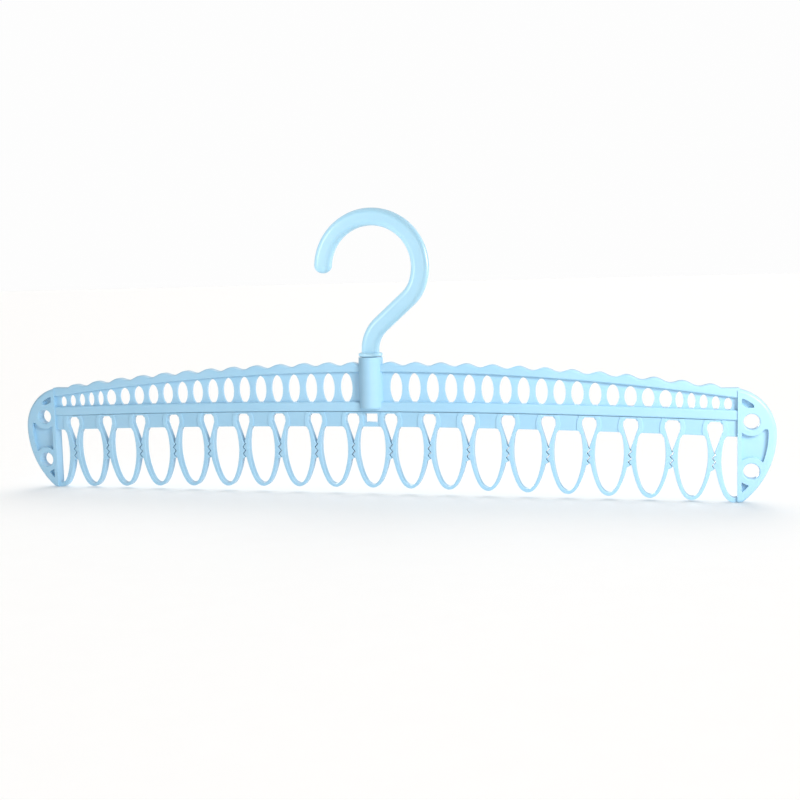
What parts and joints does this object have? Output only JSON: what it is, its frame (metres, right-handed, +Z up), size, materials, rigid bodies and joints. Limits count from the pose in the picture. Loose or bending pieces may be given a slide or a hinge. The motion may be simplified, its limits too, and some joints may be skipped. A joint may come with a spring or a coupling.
{
  "type": "drying hanger",
  "caption": "Plastic drying hanger: a long arched bar with a row of serrated looped clip fingers under a swivelling question-mark hook.",
  "frame": {"origin": "the saddle inside the top of the hook, where it bears on the rod, on the swivel axis", "axes": "+Z up along the swivel axis, +X along the bar to the right as seen from the front, front facing -Y; the hook's tip lies on -X"},
  "size_m": [0.4476, 0.0142, 0.1647],
  "materials": {
    "hook_plastic": "satin moulded polypropylene, pale sky blue",
    "bar_plastic": "satin moulded polypropylene, pale sky blue",
    "clip_plastic": "satin moulded polypropylene, pale sky blue"
  },
  "bodies": {
    "hook": {"swivel_hook": "hook_plastic"},
    "bar": {"hanger_bar": "bar_plastic", "half_clip_left": "clip_plastic", "half_clip_right": "clip_plastic"},
    "clip_01_finger": {"clip_01": "clip_plastic"},
    "clip_02_finger": {"clip_02": "clip_plastic"},
    "clip_03_finger": {"clip_03": "clip_plastic"},
    "clip_04_finger": {"clip_04": "clip_plastic"},
    "clip_05_finger": {"clip_05": "clip_plastic"},
    "clip_06_finger": {"clip_06": "clip_plastic"},
    "clip_07_finger": {"clip_07": "clip_plastic"},
    "clip_08_finger": {"clip_08": "clip_plastic"},
    "clip_09_finger": {"clip_09": "clip_plastic"},
    "clip_10_finger": {"clip_10": "clip_plastic"},
    "clip_11_finger": {"clip_11": "clip_plastic"},
    "clip_12_finger": {"clip_12": "clip_plastic"},
    "clip_13_finger": {"clip_13": "clip_plastic"},
    "clip_14_finger": {"clip_14": "clip_plastic"},
    "clip_15_finger": {"clip_15": "clip_plastic"},
    "clip_16_finger": {"clip_16": "clip_plastic"},
    "clip_17_finger": {"clip_17": "clip_plastic"}
  },
  "joints": [
    {"name": "bar_swivel", "type": "hinge", "parent": "hook", "child": "bar", "pos_m": [0, 0, -0.07446], "axis": [0, 0, 1], "continuous": true},
    {"name": "clip_01_flex", "type": "hinge", "parent": "bar", "child": "clip_01_finger", "pos_m": [-0.18042, 0, -0.11087], "axis": [1, 0, 0], "range_deg": [-6, 6], "stiffness_Nm_per_rad": 2},
    {"name": "clip_02_flex", "type": "hinge", "parent": "bar", "child": "clip_02_finger", "pos_m": [-0.15811, 0, -0.11018], "axis": [1, 0, 0], "range_deg": [-6, 6], "stiffness_Nm_per_rad": 2},
    {"name": "clip_03_flex", "type": "hinge", "parent": "bar", "child": "clip_03_finger", "pos_m": [-0.1357, 0, -0.10958], "axis": [1, 0, 0], "range_deg": [-6, 6], "stiffness_Nm_per_rad": 2},
    {"name": "clip_04_flex", "type": "hinge", "parent": "bar", "child": "clip_04_finger", "pos_m": [-0.11321, 0, -0.10907], "axis": [1, 0, 0], "range_deg": [-6, 6], "stiffness_Nm_per_rad": 2},
    {"name": "clip_05_flex", "type": "hinge", "parent": "bar", "child": "clip_05_finger", "pos_m": [-0.09065, 0, -0.10866], "axis": [1, 0, 0], "range_deg": [-6, 6], "stiffness_Nm_per_rad": 2},
    {"name": "clip_06_flex", "type": "hinge", "parent": "bar", "child": "clip_06_finger", "pos_m": [-0.06804, 0, -0.10833], "axis": [1, 0, 0], "range_deg": [-6, 6], "stiffness_Nm_per_rad": 2},
    {"name": "clip_07_flex", "type": "hinge", "parent": "bar", "child": "clip_07_finger", "pos_m": [-0.04538, 0, -0.1081], "axis": [1, 0, 0], "range_deg": [-6, 6], "stiffness_Nm_per_rad": 2},
    {"name": "clip_08_flex", "type": "hinge", "parent": "bar", "child": "clip_08_finger", "pos_m": [-0.0227, 0, -0.10796], "axis": [1, 0, 0], "range_deg": [-6, 6], "stiffness_Nm_per_rad": 2},
    {"name": "clip_09_flex", "type": "hinge", "parent": "bar", "child": "clip_09_finger", "pos_m": [0, 0, -0.10791], "axis": [1, 0, 0], "range_deg": [-6, 6], "stiffness_Nm_per_rad": 2},
    {"name": "clip_10_flex", "type": "hinge", "parent": "bar", "child": "clip_10_finger", "pos_m": [0.0227, 0, -0.10796], "axis": [1, 0, 0], "range_deg": [-6, 6], "stiffness_Nm_per_rad": 2},
    {"name": "clip_11_flex", "type": "hinge", "parent": "bar", "child": "clip_11_finger", "pos_m": [0.04538, 0, -0.1081], "axis": [1, 0, 0], "range_deg": [-6, 6], "stiffness_Nm_per_rad": 2},
    {"name": "clip_12_flex", "type": "hinge", "parent": "bar", "child": "clip_12_finger", "pos_m": [0.06804, 0, -0.10833], "axis": [1, 0, 0], "range_deg": [-6, 6], "stiffness_Nm_per_rad": 2},
    {"name": "clip_13_flex", "type": "hinge", "parent": "bar", "child": "clip_13_finger", "pos_m": [0.09065, 0, -0.10866], "axis": [1, 0, 0], "range_deg": [-6, 6], "stiffness_Nm_per_rad": 2},
    {"name": "clip_14_flex", "type": "hinge", "parent": "bar", "child": "clip_14_finger", "pos_m": [0.11321, 0, -0.10907], "axis": [1, 0, 0], "range_deg": [-6, 6], "stiffness_Nm_per_rad": 2},
    {"name": "clip_15_flex", "type": "hinge", "parent": "bar", "child": "clip_15_finger", "pos_m": [0.1357, 0, -0.10958], "axis": [1, 0, 0], "range_deg": [-6, 6], "stiffness_Nm_per_rad": 2},
    {"name": "clip_16_flex", "type": "hinge", "parent": "bar", "child": "clip_16_finger", "pos_m": [0.15811, 0, -0.11018], "axis": [1, 0, 0], "range_deg": [-6, 6], "stiffness_Nm_per_rad": 2},
    {"name": "clip_17_flex", "type": "hinge", "parent": "bar", "child": "clip_17_finger", "pos_m": [0.18042, 0, -0.11087], "axis": [1, 0, 0], "range_deg": [-6, 6], "stiffness_Nm_per_rad": 2}
  ]
}
